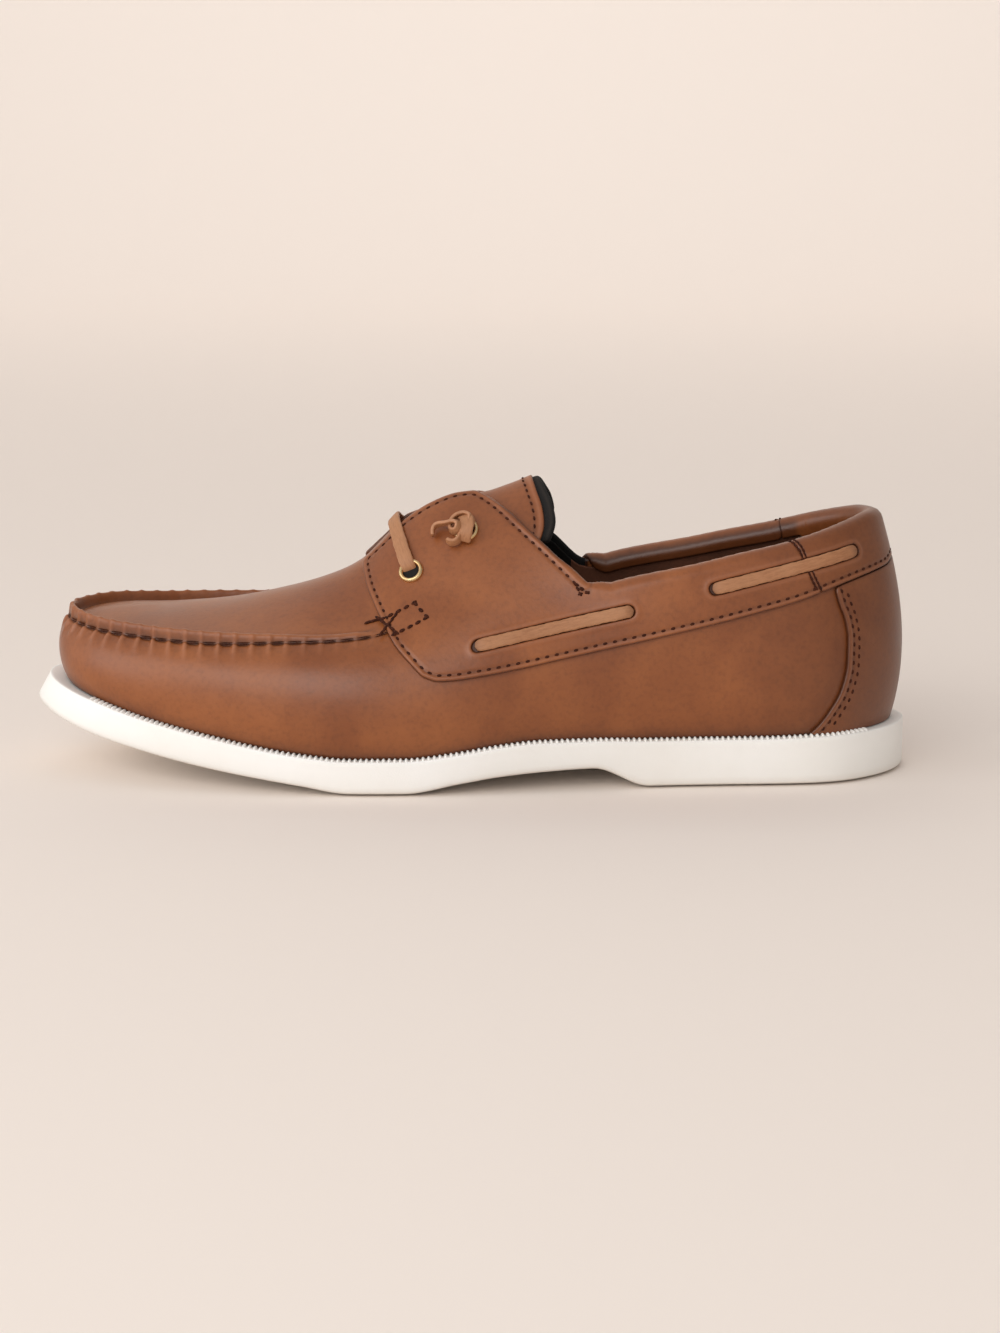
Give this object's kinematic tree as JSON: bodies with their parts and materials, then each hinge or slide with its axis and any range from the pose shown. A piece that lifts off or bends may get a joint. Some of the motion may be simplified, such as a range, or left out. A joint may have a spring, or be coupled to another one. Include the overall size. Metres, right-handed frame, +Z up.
{
  "type": "boat shoe",
  "caption": "Left leather boat shoe: moccasin toe, rawhide side lace in a collar band, brass eyelets and a pale rubber sole.",
  "frame": {"origin": "under the middle of the shoe's length and width, on the plane that the heel and the ball stand on", "axes": "+Z up, +X from the toe to the heel, -Y towards the outer side of the foot"},
  "size_m": [0.298, 0.102, 0.1003],
  "materials": {
    "leather": "burnished full-grain, mid brown",
    "rubber": "matte white with a ribbed edge",
    "lining": "dark brown suede-like lining",
    "lace": "flat tan rawhide",
    "brass": "polished rolled rings"
  },
  "bodies": {
    "root": {"outsole": "rubber", "insole": "lining", "upper": "leather", "tongue": "leather", "saddle_outer": "leather", "saddle_inner": "leather", "heel_band": "leather", "heel_counter": "leather", "lace_front_outer": "lace", "lace_rear_outer": "lace", "lace_front_inner": "lace", "lace_rear_inner": "lace", "lace_front_bar": "lace", "eyelet_front_outer": "brass", "eyelet_rear_outer": "brass", "knot_outer": "lace", "lace_tail_outer": "lace", "eyelet_front_inner": "brass", "eyelet_rear_inner": "brass", "knot_inner": "lace", "lace_tail_inner": "lace"}
  },
  "joints": []
}
